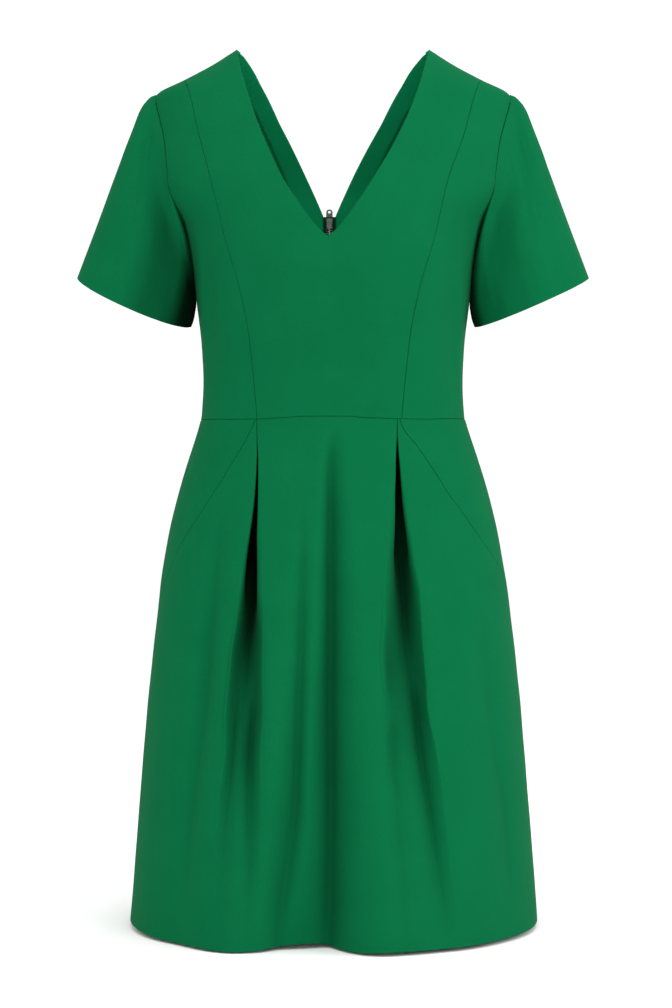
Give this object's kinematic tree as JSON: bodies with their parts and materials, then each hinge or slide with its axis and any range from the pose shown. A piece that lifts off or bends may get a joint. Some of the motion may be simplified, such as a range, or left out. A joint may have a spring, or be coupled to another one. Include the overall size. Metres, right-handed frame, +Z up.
{
  "type": "a-line dress",
  "caption": "Short-sleeved V-neck A-line dress in plain crepe, with bust seams, a pleated skirt with slanted hip seams, and a zip down the back.",
  "frame": {"origin": "midway between the middles of the two shoulder seams, where the wearer carries the dress", "axes": "+Z up the body, +X towards the wearer's left side, the front faces -Y and the zip is on the +Y side"},
  "size_m": [0.5304, 0.3423, 0.9055],
  "materials": {
    "crepe": "matte green crepe",
    "zip_tape": "woven dark green tape",
    "gunmetal": "dark gunmetal"
  },
  "bodies": {
    "dress": {"front_centre": "crepe", "front_side_left": "crepe", "front_side_right": "crepe", "back_left": "crepe", "back_right": "crepe", "sleeve_left": "crepe", "sleeve_right": "crepe", "skirt_front": "crepe", "skirt_hip_left": "crepe", "skirt_hip_right": "crepe", "skirt_back_left": "crepe", "skirt_back_right": "crepe", "zip_tape_left": "zip_tape", "zip_tape_right": "zip_tape", "zip_chain": "gunmetal", "zip_slider": "gunmetal"},
    "pull_tab": {"zip_pull": "gunmetal"}
  },
  "joints": [
    {"name": "pull_tab_hinge", "type": "hinge", "parent": "dress", "child": "pull_tab", "pos_m": [0, 0.10813, -0.14306], "axis": [-1, 0, 0], "range_deg": [0, 180]}
  ]
}
